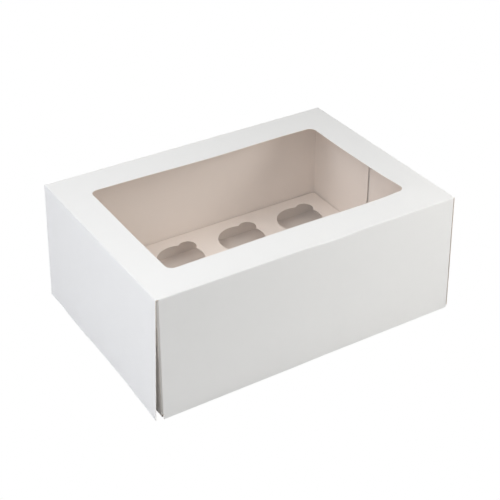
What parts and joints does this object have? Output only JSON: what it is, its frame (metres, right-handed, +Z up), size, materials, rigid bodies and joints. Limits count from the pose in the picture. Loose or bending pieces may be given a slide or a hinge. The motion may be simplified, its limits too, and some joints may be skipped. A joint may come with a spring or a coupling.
{
  "type": "cupcake box",
  "caption": "Folded white paperboard bakery box with a hinged window lid, fold-out lid flaps and a raised holder with round holes for cupcakes.",
  "frame": {"origin": "on the floor under the middle of the closed box's outline, leaning flaps included", "axes": "+X along the length towards the right end, +Y from the front flap to the lid's hinge, +Z up"},
  "size_m": [0.366, 0.2552, 0.142],
  "materials": {
    "white_board": "matte white-faced paperboard, cream on its inner side and cut edges",
    "cream_board": "uncoated cream paperboard",
    "clear_film": "thin clear window film"
  },
  "bodies": {
    "box": {"tray": "white_board", "cupcake_holder": "cream_board"},
    "lid": {"lid_panel": "white_board", "window_film": "clear_film"},
    "front_flap": {"front_flap": "white_board"},
    "left_flap": {"left_flap": "white_board"},
    "right_flap": {"right_flap": "white_board"}
  },
  "joints": [
    {"name": "lid_hinge", "type": "hinge", "parent": "box", "child": "lid", "pos_m": [0, 0.12737, 0.14175], "axis": [-1, 0, 0], "range_deg": [0, 180]},
    {"name": "front_flap_fold", "type": "hinge", "parent": "lid", "child": "front_flap", "pos_m": [0, -0.12613, 0.14175], "axis": [-1, 0, 0], "range_deg": [-0.5, 89.5]},
    {"name": "left_flap_fold", "type": "hinge", "parent": "lid", "child": "left_flap", "pos_m": [-0.17738, 0, 0.14175], "axis": [0, 1, 0], "range_deg": [-2.2, 87.8]},
    {"name": "right_flap_fold", "type": "hinge", "parent": "lid", "child": "right_flap", "pos_m": [0.17812, 0, 0.14175], "axis": [0, -1, 0], "range_deg": [-1.9, 88.1]}
  ]
}
